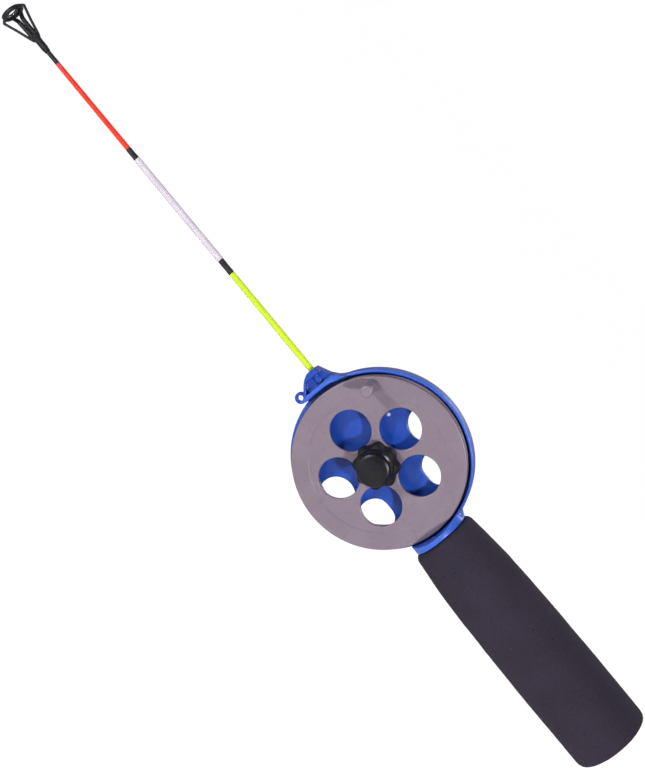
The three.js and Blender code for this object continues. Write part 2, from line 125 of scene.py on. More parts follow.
def rounded(points, step, arc=7):
    """A polyline of (place, radius[, corner radius]), corners rounded and runs cut to the step."""
    corners = [np.array(p[:2], float) for p in points]
    radii = [p[2] if len(p) > 2 else 0.0 for p in points]
    line = [corners[0]]
    for i in range(1, len(corners) - 1):
        before, corner, after = corners[i - 1], corners[i], corners[i + 1]
        if radii[i] <= 0:
            line.append(corner)
            continue
        len_in, len_out = np.linalg.norm(before - corner), np.linalg.norm(after - corner)
        dir_in, dir_out = (before - corner) / len_in, (after - corner) / len_out
        half = math.acos(max(-1, min(1, float(dir_in @ dir_out)))) / 2
        if half > math.pi / 2 - 0.01:
            line.append(corner)
            continue
        setback = min(radii[i] / math.tan(half), 0.48 * len_in, 0.48 * len_out)
        radius = setback * math.tan(half)
        middle = dir_in + dir_out
        centre = corner + middle / np.linalg.norm(middle) * (radius / math.sin(half))
        start = corner + dir_in * setback - centre
        end = corner + dir_out * setback - centre
        angle = math.atan2(start[1], start[0])
        turn = (math.atan2(end[1], end[0]) - angle + math.pi) % (2 * math.pi) - math.pi
        for k in range(arc + 1):
            bearing = angle + turn * k / arc
            line.append(centre + radius * np.array([math.cos(bearing), math.sin(bearing)]))
    line.append(corners[-1])
    fine = [line[0]]
    for start, end in zip(line[:-1], line[1:]):
        count = max(1, int(math.ceil(np.linalg.norm(end - start) / step)))
        fine += [start + (end - start) * k / count for k in range(1, count + 1)]
    return np.array(fine)


def turned(profile, segments, axis, loop=False, warp=None, at=(0, 0, 0)):
    """A lathe form about X or Y from (place on the axis, radius). Zero radii become poles."""
    angles = 2 * math.pi * np.arange(segments) / segments
    rows, verts, count = [], [], 0
    for place, radius in np.asarray(profile, float):
        pole = radius < 1e-6
        rows.append((count, pole))
        if pole:
            verts.append(np.array([[place, 0.0, 0.0]]))
            count += 1
        else:
            circle = [np.full(segments, place), radius * np.cos(angles), radius * np.sin(angles)]
            verts.append(np.stack(circle, 1))
            count += segments
    verts = np.concatenate(verts)
    if axis == "Y":
        verts = np.stack([verts[:, 1], verts[:, 0], verts[:, 2]], 1)
    quads, tris = [], []
    this = np.arange(segments)
    after = (this + 1) % segments
    pairs = list(zip(rows[:-1], rows[1:]))
    if loop:
        pairs.append((rows[-1], rows[0]))
    for (row, pole), (far, far_pole) in pairs:
        if pole and far_pole:
            continue
        if pole:
            tris.append(np.stack([np.full(segments, row), far + this, far + after], 1))
        elif far_pole:
            tris.append(np.stack([row + after, row + this, np.full(segments, far)], 1))
        else:
            quads.append(np.stack([row + this, far + this, far + after, row + after], 1))
    if warp is not None:
        verts = warp(verts)
    verts = verts + np.array(at, float)
    tris = np.concatenate(tris) if tris else np.zeros((0, 3), int)
    return verts, np.concatenate(quads), tris


# ---------------------------------------------------------------- distance fields
ROUNDING = [1.0]     # scale on every blend radius; 0 gives the sharp field
POOL = ThreadPoolExecutor(4)
CHUNK = 120000       # points in one parallel job
BLOCK = 8            # grid cells along a side of a coarse block
SETTLE = 3           # steps that move vertices onto the surface
PROBE = 0.02         # reach of the gradient samples, mm


def join(a, b, radius=0.0):
    radius *= ROUNDING[0]
    if radius <= 0:
        return np.minimum(a, b)
    corner = np.hypot(np.maximum(radius - a, 0), np.maximum(radius - b, 0))
    return np.maximum(radius, np.minimum(a, b)) - corner


def both(a, b, radius=0.0):
    radius *= ROUNDING[0]
    if radius <= 0:
        return np.maximum(a, b)
    corner = np.hypot(np.maximum(radius + a, 0), np.maximum(radius + b, 0))
    return np.minimum(-radius, np.maximum(a, b)) + corner


def cut(a, b, radius=0.0):
    return both(a, -b, radius)


def slab(value, low, high):
    return np.abs(value - (low + high) / 2) - (high - low) / 2


def rectangle(x, y, x_span, y_span):
    a, b = slab(x, *x_span), slab(y, *y_span)
    return np.minimum(np.maximum(a, b), 0) + np.hypot(np.maximum(a, 0), np.maximum(b, 0))


def hexagon(x, z, apothem):
    slant, other = np.abs(0.5 * x + 0.8660254 * z), np.abs(0.5 * x - 0.8660254 * z)
    return np.maximum(np.abs(x), np.maximum(slant, other)) - apothem


def polar(radius, degrees):
    angle = math.radians(degrees)
    return radius * math.cos(angle), radius * math.sin(angle)


def reach(x, y, centre):
    """Distance from a centre in a plane."""
    return np.hypot(x - centre[0], y - centre[1])


def polygon(x, y, points):
    nearest = np.full(x.shape, 1e9, x.dtype)
    inside = np.zeros(x.shape, bool)
    for i in range(len(points)):
        (x1, y1), (x0, y0) = points[i], points[i - 1]
        ex, ey = x0 - x1, y0 - y1
        wx, wy = x - x1, y - y1
        along = np.clip((wx * ex + wy * ey) / (ex * ex + ey * ey), 0, 1)
        nearest = np.minimum(nearest, (wx - ex * along) ** 2 + (wy - ey * along) ** 2)
        above, below, beside = y >= y1, y < y0, ex * wy > ey * wx
        inside ^= (above & below & beside) | ~(above | below | beside)
    nearest = np.sqrt(nearest)
    return np.where(inside, -nearest, nearest)


def capsule(point, start, end, radius):
    """A round rod from start to end."""
    start, end = np.array(start), np.array(end)
    rod = end - start
    rel = [point[k] - start[k] for k in range(3)]
    along = (rel[0] * rod[0] + rel[1] * rod[1] + rel[2] * rod[2]) / (rod @ rod)
    along = np.clip(along, 0, 1)
    off = [rel[k] - rod[k] * along for k in range(3)]
    return np.sqrt(off[0] ** 2 + off[1] ** 2 + off[2] ** 2) - radius


def spline(points, per):
    """A smooth curve through the points, with per steps between neighbours."""
    p = np.array(points, float)
    p = np.concatenate([[2 * p[0] - p[1]], p, [2 * p[-1] - p[-2]]])
    curve = []
    for i in range(1, len(p) - 2):
        for k in range(per):
            t = k / per
            square = 2 * p[i - 1] - 5 * p[i] + 4 * p[i + 1] - p[i + 2]
            cube = 3 * p[i] - p[i - 1] - 3 * p[i + 1] + p[i + 2]
            curve.append(0.5 * (2 * p[i] + (p[i + 1] - p[i - 1]) * t + square * t * t
                                + cube * t ** 3))
    curve.append(p[-2])
    return np.array(curve)


def field(sdf, points, kind=np.float32):
    """The distance field at many points, in parallel chunks."""
    points = np.asarray(points, kind)
    parts = [points[i:i + CHUNK] for i in range(0, len(points), CHUNK)]
    return np.concatenate(list(POOL.map(lambda q: sdf(q[:, 0], q[:, 1], q[:, 2]), parts)))


def surface(sdf, low, high, cell):
    """A quad mesh on a field's zero level: a vertex for each cell it crosses, moved onto it."""
    low, high = np.array(low, float) - 2 * cell, np.array(high, float) + 2 * cell
    blocks = np.ceil((high - low) / (cell * BLOCK)).astype(int)
    count = blocks * BLOCK
    # a coarse pass finds the blocks near the surface; only those get exact values
    axes = [low[k] + (np.arange(blocks[k]) * BLOCK + (BLOCK - 1) / 2) * cell for k in range(3)]
    centres = np.stack(np.meshgrid(*axes, indexing="ij"), -1)
    ROUNDING[0] = 0.0
    coarse = field(sdf, centres.reshape(-1, 3)).reshape(blocks)
    ROUNDING[0] = 1.0
    near = np.abs(coarse) < BLOCK * cell * 0.5 * math.sqrt(3) + cell + 1.3
    grid = np.where(coarse < 0, -9.0, 9.0).astype(np.float32)
    for k in range(3):
        grid = np.repeat(grid, BLOCK, k)
    offsets = np.stack(np.meshgrid(*[np.arange(BLOCK)] * 3, indexing="ij"), -1).reshape(-1, 3)
    index = (np.argwhere(near)[:, None, :] * BLOCK + offsets[None]).reshape(-1, 3)
    grid[index[:, 0], index[:, 1], index[:, 2]] = field(sdf, low + index * cell)
    grid[grid == 0] = 1e-6
    solid = grid < 0
    # each grid edge that crosses the surface gives a quad between its four cells
    cells, points, quads = [], [], []
    stride = np.array([count[1] * count[2], count[2], 1])
    for axis in range(3):
        side, other = (axis + 1) % 3, (axis + 2) % 3
        first = [slice(None)] * 3
        second = [slice(None)] * 3
        first[axis], second[axis] = slice(0, -1), slice(1, None)
        edge = np.argwhere(solid[tuple(first)] != solid[tuple(second)])
        edge = edge[(edge[:, side] > 0) & (edge[:, other] > 0)]
        unit = np.eye(3, dtype=int)[axis]
        end = edge + unit
        value = grid[edge[:, 0], edge[:, 1], edge[:, 2]]
        end_value = grid[end[:, 0], end[:, 1], end[:, 2]]
        crossing = edge + (value / (value - end_value))[:, None] * unit
        home = edge @ stride
        ring = np.stack([home, home - stride[side], home - stride[side] - stride[other],
                         home - stride[other]], 1)
        flip = value > 0
        ring[flip] = ring[flip][:, ::-1]
        quads.append(ring)
        cells.append(ring.ravel())
        points.append(np.repeat(crossing, 4, 0))
    cells, points, quads = np.concatenate(cells), np.concatenate(points), np.concatenate(quads)
    ids, inverse = np.unique(cells, return_inverse=True)
    total = np.bincount(inverse)
    means = [np.bincount(inverse, points[:, k]) / total for k in range(3)]
    verts = np.stack(means, 1) * cell + low
    quads = np.searchsorted(ids, quads)
    corners = np.array([[1, 1, 1], [1, -1, -1], [-1, 1, -1], [-1, -1, 1]], float)
    for _ in range(SETTLE):
        dist = field(sdf, verts, np.float64)
        slope = sum(np.outer(field(sdf, verts + PROBE * corner, np.float64), corner)
                    for corner in corners) / (4 * PROBE)
        steep = np.maximum((slope * slope).sum(1), 0.1)
        verts = verts - np.clip(dist / steep, -0.6 * cell, 0.6 * cell)[:, None] * slope
    return verts, quads, np.zeros((0, 3), int)


# ---------------------------------------------------------------- reel frame
ROOM_R = 38.6                          # round room the spool turns in
PLATE_R = 39.9                         # back plate and outside of the rim
PLATE_FRONT, PLATE_BACK = 2.4, 4.5     # Y of the plate's faces
FRAME_FRONT = -2.7                     # Y of the front of rim and corner block
ARM_HALF = 10.6                        # half height of the arm to the collar
LUG_END = -48.3                        # X of the lug's whip end
COLLAR_X = (35.5, 40.8)
ARC_START, ARC_END = math.radians(15), math.radians(163)     # the rim runs over the top
EJECTORS = [(-24.0, 9.5), (-24.0, -9.5), (-11.0, -14.0), (-11.0, 14.0), (10.5, 5.6),
            (10.5, -5.6)]              # x, z of the ejector marks

# Outlines as (x, z)
LUG = [
    (LUG_END, 0.7), (LUG_END, 4.7), (-42.5, 7.6), (-40.0, 9.7), (-38.3, 11.6), (-37.4, 12.6),
    (-36.6, 11.8), (-37.4, 10.0), (-38.9, 6.0), (-39.2, 2.0), (-39.2, -7.9), (-40.4, -8.6),
    (-41.4, -7.4), (-42.9, -6.1), (-44.1, -4.9), (-45.6, -3.6), (-46.9, -2.1), (-47.8, -0.6)]
POCKET = [(-45.7, -2.2), (-44.2, -3.5), (-42.6, -4.8), (-41.3, -5.6), (-41.3, 12.0),
          (-45.7, 12.0)]
CORNER = [(35.5, 10.4), (40.2, 10.4), (40.2, 12.4), (38.6, 13.2), (36.2, 14.6)]

# Outlines of the ribs behind the plate as (x, y)
RIB_MIDDLE = [(5, 3.6), (40.0, 3.6), (40.0, 11.5), (30, 7.4), (5, 7.4)]
RIB_WHIP = [(-38.5, 3.6), (-5, 3.6), (-5, 7.0), (-34, 6.0), (-38.5, 5.6)]
RIB_PAIR = [(14, 3.6), (40.0, 3.6), (40.0, 7.2), (34, 6.4), (14, 5.6)]


def plate_and_rim(x, y, z, rho):
    disc = rho - PLATE_R
    for degrees in (45, 90, -45, -90):
        opening = reach(x, z, polar(25.4, degrees)) - 8.0
        if abs(degrees) == 45:
            opening = both(opening, ARM_HALF - np.abs(z), 0.9)
        disc = cut(disc, opening)
    disc = join(disc, rectangle(x, z, (30, 40.5), (-ARM_HALF, ARM_HALF)), 1.2)
    plate = both(disc, slab(y, PLATE_FRONT, PLATE_BACK), 0.4)
    ring = slab(rho, ROOM_R, PLATE_R)
    ring = both(ring, x * math.sin(ARC_START) - z * math.cos(ARC_START), 0.5)
    ring = both(ring, -x * math.sin(ARC_END) + z * math.cos(ARC_END), 0.5)
    shape = join(plate, both(ring, slab(y, FRAME_FRONT, 3.4), 0.42), 0.7)
    disc = rho - PLATE_R
    return both(shape, np.where(x < 30, disc, np.minimum(disc, np.abs(z) - ARM_HALF)))


def whip_lug(x, y, z, whip_r):
    """The lug with its pocket, rib and socket barrel."""
    front = np.interp(z, [5.0, 9.5], [-3.6, -2.7])
    lug = both(polygon(x, z, LUG), slab(y, front, PLATE_BACK), 0.35)
    lug = cut(lug, both(polygon(x, z, POCKET), y + 1.0), 0.22)
    rib = rectangle(x, z, (-41.3 + 0.22 * np.clip(z - 6.0, 0, 6), -39.4), (-6.6, 10.2))
    rib_front = np.interp(z, [3.0, 9.5], [-4.5, -2.6])
    lug = join(lug, both(rib, slab(y, rib_front, PLATE_FRONT), 0.45), 0.3)
    return join(lug, both(whip_r - 2.15, slab(x, LUG_END, -42.0), 0.35), 0.45)


def rear_ribs(x, y, z):
    ribs = both(polygon(x, y, RIB_MIDDLE), slab(z, -1.5, 1.5), 0.4)
    ribs = join(ribs, both(polygon(x, y, RIB_WHIP), slab(z, -1.3, 1.3), 0.4))
    return join(ribs, both(polygon(x, y, RIB_PAIR), slab(np.abs(z), 8.6, 10.4), 0.4))


def frame_field(x, y, z):
    rho = np.hypot(x, z)
    whip_r = np.hypot(y, z - WHIP_Z)
    grip_r = np.hypot(y, z)
    room = both(rho - ROOM_R, y - PLATE_FRONT)
    shape = plate_and_rim(x, y, z, rho)
    shape = join(shape, cut(whip_lug(x, y, z, whip_r), room, 0.3), 0.9)
    shape = both(shape, y - PLATE_BACK)
    # eyelet under the lug
    eye = reach(x, z, (-42.1, -9.6))
    shape = join(shape, both(np.abs(eye - 1.9) - 0.7, slab(y, 0.4, 2.9), 0.6), 0.35)
    shape = cut(shape, eye - 1.2, 0.25)
    # corner block, collar and the tang inside the grip
    corner = both(polygon(x, z, CORNER), slab(y, FRAME_FRONT, 4.3), 0.35)
    shape = join(shape, cut(corner, room, 0.25), 0.35)
    collar = both(grip_r - 12.9, slab(x, *COLLAR_X), 0.45)
    collar = cut(collar, room, 0.4)
    collar = cut(collar, both(rho - ROOM_R, 4.1 - y), 0.3)
    shape = join(shape, collar, 0.35)
    shape = join(shape, both(grip_r - 5.5, slab(x, 40.0, 116.0), 1.6), 0.2)
    # bosses round the axle, and the ribs
    shape = join(shape, both(rho - 7.5, slab(y, 1.6, 3.5), 0.3), 0.5)
    shape = join(shape, both(rho - 8.0, slab(y, 3.5, 8.0), 0.5), 0.7)
    shape = join(shape, rear_ribs(x, y, z), 0.55)
    # shallow ejector rounds behind the plate, gate nub in front of it
    for mark in EJECTORS:
        shape = cut(shape, both(reach(x, z, mark) - 1.9, 4.36 - y), 0.08)
    nub = np.sqrt((x - GATE_X) ** 2 + (y - 2.5) ** 2 + (z - GATE_Z) ** 2) - 0.72
    shape = join(shape, nub, 0.12)
    # hex pocket, axle bore and whip socket
    shape = cut(shape, both(hexagon(x, z, 4.15), 4.3 - y), 0.2)
    shape = cut(shape, rho - 2.6, 0.1)
    return cut(shape, both(whip_r - 1.42, x + 41.4), 0.12)


# ---------------------------------------------------------------- spool
SPOOL_R = 37.5
RECESS = 0.28        # how far the front face drops inside the ring
HOLES = 5


def spool_field(x, y, z):
    rho = np.hypot(x, z)
    web = both(rho - SPOOL_R, slab(y, SPOOL_FRONT, -3.7), 0.5)
    web = np.maximum(web, SPOOL_FRONT + RECESS * np.clip((30.4 - rho) / 0.72, 0, 1) - y)
    ring = both(rho - 30.0, slab(y, -4.6, 0.0))
    ring = join(ring, both(rho - SPOOL_R, slab(y, -1.1, SPOOL_BACK), 0.5), 0.5)
    shape = join(web, both(ring, 28.0 - rho, 0.3), 0.5)
    hub = both(rho - 8.2, slab(y, SPOOL_FRONT + RECESS, SPOOL_BACK))
    shape = join(shape, hub)
    for k in range(HOLES):
        hole = reach(x, z, polar(18.1, 180 + 360 // HOLES * k)) - 9.0
        shape = cut(shape, both(hole, y + 3.2), 0.35)
    shape = cut(shape, reach(x, z, (WIND[0], WIND[2])) - 1.31, 0.1)
    return cut(shape, rho - 4.07, 0.2)


# ---------------------------------------------------------------- tip guide
TILT = math.radians(-3.8)    # the cage leans about Y ...
TILT_X = -231.0              # ... at this X, on the whip's centre line
CAGE_BORE = 3.55             # inner radius of the cage's ring

# Wall of the tube over the whip's end: x, then outer radius
TUBE_X = [-233.2, -232.2, -231.0, -229.8, -225.6, -225.2]
TUBE_R = [2.1, 1.9, 1.62, 1.52, 1.52, 1.34]

# Centre lines of the upper legs as (x, y, z); the lower ones mirror z
THIN_LEG = np.array([
    (-230.8, 0, 0.9), (-232.2, 0, 1.9), (-238.8, 0, 3.8), (-244.4, 0, 5.6), (-245.7, 0, 5.85),
    (-246.8, 0, 4.6)])
THICK_LEG = np.array([
    (-230.8, 0.1, 0.55), (-233.0, 0.2, 0.95), (-237.0, 0.5, 1.0), (-241.4, 1.3, 1.1),
    (-243.2, 1.8, 1.35), (-244.9, 2.35, 2.0), (-246.9, 2.9, 2.8)])


def untilt(x, z):
    """Points in the cage's own upright frame."""
    dx, dz = x - TILT_X, z - WHIP_Z
    cos, sin = math.cos(TILT), math.sin(TILT)
    return cos * dx - sin * dz + TILT_X, sin * dx + cos * dz


def tilt(verts):
    """Lean vertices, given about the whip's centre line, with the cage."""
    dx, dz = verts[:, 0] - TILT_X, verts[:, 2]
    cos, sin = math.cos(TILT), math.sin(TILT)
    return np.stack([cos * dx + sin * dz + TILT_X, verts[:, 1], -sin * dx + cos * dz], 1)


def guide_field(x, y, z):
    whip_r = np.hypot(y, z - WHIP_Z)
    # the tube flares towards the legs
    wall = np.interp(x, TUBE_X, TUBE_R)
    shape = both((whip_r - wall) * 0.92, slab(x, -233.0, -224.0), 0.3)
    cage_x, cage_z = untilt(x, z)
    cage_x = cage_x - 0.11 * cage_z * np.clip((-234.0 - cage_x) / 10.0, 0, 1)
    point = (cage_x, y, cage_z)
    for side in (-1, 1):
        path = spline(THIN_LEG * (1, 1, side), 5)
        for start, end in zip(path[:-1], path[1:]):
            shape = join(shape, capsule(point, start, end, 0.57), 0.12)
        path = spline(THICK_LEG * (1, 1, side), 4)
        for start, end in zip(path[:-1], path[1:]):
            radius = float(np.interp(start[0], [-244.5, -242.0], [0.82, 0.96]))
            shape = join(shape, capsule(point, start, end, radius), 0.15)
    ring_r = np.hypot(y, cage_z)
    ring = both(ring_r - 5.0, CAGE_BORE - ring_r, 0.2)
    shape = join(shape, both(ring, slab(cage_x, -247.4, -245.6), 0.4), 0.35)
    shape = both(shape, CAGE_BORE - np.where(cage_x < -246.0, ring_r, 9.0))
    return cut(shape, both(whip_r - 0.62, -230.6 - x), 0.05)


# ---------------------------------------------------------------- axle screw
def bolt_field(x, y, z):
    rho = np.hypot(x, z)
    head = both(hexagon(x, z, 4.0), slab(y, 4.45, 7.9), 0.12)
    head = both(head, (rho + 1.7 * y - 17.05) / 1.97, 0.1)     # cone that bevels the head
    head = cut(head, both(rho - 2.6, 7.72 - y), 0.08)
    shank = both(rho - 2.5, slab(y, -14.9, 5.0), 0.45)
    return join(head, shank)


# ---------------------------------------------------------------- shader building
def cleared_tree(owner):
    """The emptied node tree of a material or world."""
    owner.use_nodes = True
    owner.node_tree.nodes.clear()
    return owner.node_tree


def add_node(tree, kind, feed=None, **props):
    """A shader node with its properties set and its inputs linked or given values."""
    node = tree.nodes.new("ShaderNode" + kind)
    for key, value in props.items():
        setattr(node, key, value)
    for key, value in (feed or {}).items():
        if isinstance(value, bpy.types.NodeSocket):
            tree.links.new(value, node.inputs[key])
        else:
            node.inputs[key].default_value = value
    return node


class Look:
    """A Principled material. Sizes are in mm; span is the input range of a ramp, to its output."""

    INPUTS = {
        "color": "Base Color", "rough": "Roughness", "metal": "Metallic", "normal": "Normal",
        "spec": "Specular IOR Level", "coat": "Coat Weight", "coat_rough": "Coat Roughness",
        "sheen": "Sheen Weight", "sheen_rough": "Sheen Roughness", "sheen_tint": "Sheen Tint",
        "sss": "Subsurface Weight", "sss_radius": "Subsurface Radius",
        "sss_scale": "Subsurface Scale"}

    def __init__(self, name):
        self.material = bpy.data.materials.new(name)
        self.tree = cleared_tree(self.material)
        coord = self.add("TexCoord").outputs["Object"]
        self.mm = self.add("VectorMath", {0: coord, 1: (1000.0, 1000.0, 1000.0),
                                          2: (-AXLE_X, 0, 0)}, operation="MULTIPLY_ADD").outputs[0]

    def add(self, kind, feed=None, **props):
        return add_node(self.tree, kind, feed, **props)

    def place(self, stretch):
        if stretch is None:
            return self.mm
        return self.add("VectorMath", {0: self.mm, 1: stretch}, operation="MULTIPLY").outputs[0]

    def noise(self, size, detail=3.0, rough=0.55, stretch=None, distort=0.0):
        feed = {"Vector": self.place(stretch), "Scale": 1.0 / size, "Detail": detail,
                "Roughness": rough, "Distortion": distort}
        return self.add("TexNoise", feed).outputs[0]

    def cells(self, size, stretch=None):
        feed = {"Vector": self.place(stretch), "Scale": 1.0 / size}
        return self.add("TexVoronoi", feed).outputs["Distance"]

    def ramp(self, value, span, to=(0, 1)):
        feed = {"Value": value, "From Min": span[0], "From Max": span[1],
                "To Min": to[0], "To Max": to[1]}
        return self.add("MapRange", feed).outputs[0]

    def patches(self, size, span=(0.3, 0.7), to=(0, 1), **kind):
        return self.ramp(self.noise(size, **kind), span, to)

    def math(self, operation, a, b=0.0):
        return self.add("Math", {0: a, 1: b}, operation=operation).outputs[0]

    def times(self, a, b):
        return self.math("MULTIPLY", a, b)

    def plus(self, a, b):
        return self.math("ADD", a, b)

    def mix(self, factor, first, second):
        return self.add("Mix", {0: factor, 6: first, 7: second}, data_type="RGBA").outputs[2]

    def mottle(self, first, second, **patch):
        """The first colour with noise patches of the second."""
        return self.mix(self.patches(**patch), first, second)

    def bump(self, height, strength, depth, under=None):
        feed = {"Height": height, "Strength": strength, "Distance": depth * MM}
        if under is not None:
            feed["Normal"] = under
        return self.add("Bump", feed).outputs[0]

    def edges(self, span):
        """0 on flats, 1 on outer edges, used for wear and, on the blue plastic, partly for a
        painted edge highlight.
        """
        return self.ramp(self.add("NewGeometry").outputs["Pointiness"], span)

    def axle_distance(self):
        x, _, z = self.add("SeparateXYZ", {0: self.mm}).outputs
        return self.math("SQRT", self.plus(self.times(x, x), self.times(z, z)))

    def finish(self, **feed):
        named = {self.INPUTS[key]: value for key, value in feed.items()}
        shader = self.add("BsdfPrincipled", named)
        self.add("OutputMaterial", {0: shader.outputs[0]})
        return self.material


def rgb(*levels):
    """8-bit sRGB as linear RGBA."""
    linear = []
    for level in levels:
        level /= 255.0
        linear.append(level / 12.92 if level <= 0.04045 else ((level + 0.055) / 1.055) ** 2.4)
    return (*linear, 1.0)


# ---------------------------------------------------------------- materials
def blue_plastic():
    look = Look("blue_moulded_plastic")
    color = look.mottle(rgb(26, 66, 164), rgb(33, 77, 181), size=9.0, detail=4.0, rough=0.6,
                        distort=0.6)
    color = look.mottle(color, rgb(48, 92, 194), size=1.1, detail=2.0, span=(0.62, 0.8),
                        to=(0, 0.35))
    # edges lightened: partly wear, partly a painted highlight standing in for gloss on the fillet
    # edges
    worn = look.times(look.edges(span=(0.53, 0.62)),
                      look.patches(size=3.2, detail=4.0, span=(0.4, 0.65), to=(0.1, 0.8)))
    color = look.mix(worn, color, rgb(84, 124, 222))
    rough = look.plus(look.patches(size=5.0, to=(0.26, 0.38)), look.times(worn, 0.1))
    scratch = look.noise(size=0.8, detail=2.0, stretch=(0.12, 1, 1.3))
    peel = look.noise(size=0.9, detail=2.0)
    normal = look.bump(peel, strength=0.30, depth=0.03)
    scratch = look.ramp(scratch, span=(0.66, 0.74))
    normal = look.bump(scratch, strength=0.15, depth=0.02, under=normal)
    # painted highlight: the rim is painted brighter than the plate, standing in for the gloss it
    # catches
    rho = look.axle_distance()
    rim_painted_highlight = look.times(look.ramp(rho, span=(37.8, 38.3), to=(0.0, 0.62)),
                     look.ramp(rho, span=(41.2, 42.2), to=(1.0, 0.0)))
    rim_painted_highlight = look.times(rim_painted_highlight, look.patches(size=4.0, to=(0.8, 1.0)))
    color = look.mix(rim_painted_highlight, color, rgb(74, 116, 228))
    # painted highlight: the gate nub is painted near white for a glint on it, and made smooth
    away = look.add("VectorMath", {0: look.mm, 1: (GATE_X, 2.2, GATE_Z)}, operation="DISTANCE")
    nub_painted_glint = look.ramp(away.outputs["Value"], span=(0.72, 0.95), to=(1.0, 0.0))
    color = look.mix(nub_painted_glint, color, rgb(226, 232, 250))
    rough = look.math("SUBTRACT", rough, look.times(nub_painted_glint, 0.2))
    return look.finish(color=color, rough=rough, normal=normal, spec=0.4, coat=0.06,
                       coat_rough=0.2)


def taupe_plastic(name, light=0):
    """Taupe plastic, its two main tones raised by light 8-bit levels."""
    look = Look(name)
    color = look.mottle(rgb(128 + light, 113 + light, 127 + light),
                        rgb(136 + light, 121 + light, 134 + light),
                        size=14.0, detail=4.0, rough=0.6, distort=0.5)
    color = look.mottle(color, rgb(126, 112, 124), size=2.4, span=(0.45, 0.8), to=(0, 0.3))
    specks = look.ramp(look.cells(size=1.7), span=(0.02, 0.09), to=(0.25, 0.0))
    color = look.mix(specks, color, rgb(158, 143, 152))
    worn = look.edges(span=(0.53, 0.6))
    color = look.mix(look.times(worn, 0.5), color, rgb(166, 150, 160))
    # turned marks around the axle, very faint
    rings = look.add("TexNoise", {"W": look.axle_distance(), "Scale": 2.2, "Detail": 2.0},
                     noise_dimensions="1D").outputs[0]
    rough = look.patches(size=6.0, detail=4.0, to=(0.25, 0.34))
    normal = look.bump(rings, strength=0.08, depth=0.02)
    normal = look.bump(look.noise(size=0.6), strength=0.06, depth=0.02, under=normal)
    return look.finish(color=color, rough=rough, normal=normal, spec=0.42)


def black_plastic():
    look = Look("black_satin_plastic")
    color = look.mottle(rgb(18, 16, 21), rgb(25, 23, 29), size=5.0, span=(0.35, 0.7))
    dust = look.times(look.patches(size=0.7, span=(0.62, 0.78)), 0.25)
    color = look.mix(dust, color, rgb(52, 48, 55))
    worn = look.edges(span=(0.53, 0.62))
    color = look.mix(look.times(worn, 0.3), color, rgb(50, 47, 55))
    rough = look.patches(size=3.0, to=(0.26, 0.36))
    # the star behind the cap is duller
    behind = look.add("SeparateXYZ", {0: look.mm}).outputs[1]
    behind = look.ramp(behind, span=(-12.9, -12.3))
    rough = look.plus(rough, look.times(behind, 0.34))
    normal = look.bump(look.noise(size=0.45, rough=0.6), strength=0.3, depth=0.02)
    return look.finish(color=color, rough=rough, normal=normal, spec=0.34)


def eva_foam():
    look = Look("eva_foam")
    color = look.mottle(rgb(46, 41, 53), rgb(52, 46, 60), size=26.0, rough=0.5, distort=0.4,
                        span=(0.32, 0.68))
    cell = look.cells(size=0.85)
    grain = look.noise(size=0.5, rough=0.6)
    tone = look.plus(look.ramp(cell, span=(0.15, 0.75), to=(0.0, 0.6)),
                     look.ramp(grain, span=(0.35, 0.7), to=(0.0, 0.4)))
    dark = look.mix(0.16, color, rgb(24, 22, 28))
    pale = look.mix(0.06, color, rgb(92, 86, 100))
    color = look.mix(tone, dark, pale)
    # painted shade: the pits are painted dark for the shade inside them, as they are only bumps
    pits = look.ramp(look.cells(size=3.4), span=(0.05, 0.12), to=(1.0, 0.0))
    pits = look.times(pits, look.patches(size=5.5, detail=1.0, span=(0.5, 0.6)))
    color = look.mix(pits, color, rgb(20, 18, 23))
    dust = look.ramp(look.cells(size=7.5, stretch=(1, 1.15, 0.9)), span=(0.02, 0.06),
                     to=(1.0, 0.0))
    dust = look.times(dust, look.patches(size=18.0, detail=1.0, span=(0.54, 0.62)))
    color = look.mix(look.times(dust, 0.5), color, rgb(128, 118, 134))
    height = look.plus(look.times(cell, 0.7), look.times(grain, 0.5))
    normal = look.bump(height, strength=0.3, depth=0.08)
    unpitted = look.math("SUBTRACT", 1.0, pits)
    normal = look.bump(unpitted, strength=0.6, depth=0.3, under=normal)
    normal = look.bump(look.noise(size=7.0), strength=0.25, depth=0.5, under=normal)
    rough = look.ramp(grain, span=(0.3, 0.7), to=(0.82, 0.98))
    return look.finish(color=color, rough=rough, normal=normal, spec=0.12, sheen=0.05,
                       sheen_rough=0.55, sheen_tint=rgb(190, 178, 200))


def vinyl(name, first, second, mark, tip_span=None, tip_color=None, smoothest=0.3):
    """Sleeve vinyl: draw lines along the whip, small wrinkles, dull patches, perhaps a tip tint."""
    look = Look(name)
    along = look.noise(size=1.3, stretch=(0.08, 1, 1))
    color = look.mottle(first, second, size=6.0)
    color = look.mix(look.ramp(along, span=(0.5, 0.8), to=(0, 0.35)), color, mark)
    specks = look.ramp(look.cells(size=2.6), span=(0.03, 0.08), to=(0.12, 0.0))
    color = look.mix(specks, color, mark)
    if tip_span is not None:
        x = look.add("SeparateXYZ", {0: look.mm}).outputs[0]
        color = look.mix(look.ramp(x, span=tip_span, to=(1.0, 0.0)), color, tip_color)
    wrinkle = look.noise(size=1.6, stretch=(1.0, 0.5, 0.5))
    normal = look.bump(wrinkle, strength=0.25, depth=0.04)
    fine = look.noise(size=0.35, detail=2.0)
    normal = look.bump(fine, strength=0.08, depth=0.01, under=normal)
    rough = look.patches(size=3.0, to=(smoothest, smoothest + 0.14))
    return look.finish(color=color, rough=rough, normal=normal, spec=0.3, sss=0.12,
                       sss_radius=(1.0, 1.0, 1.0), sss_scale=0.0006)


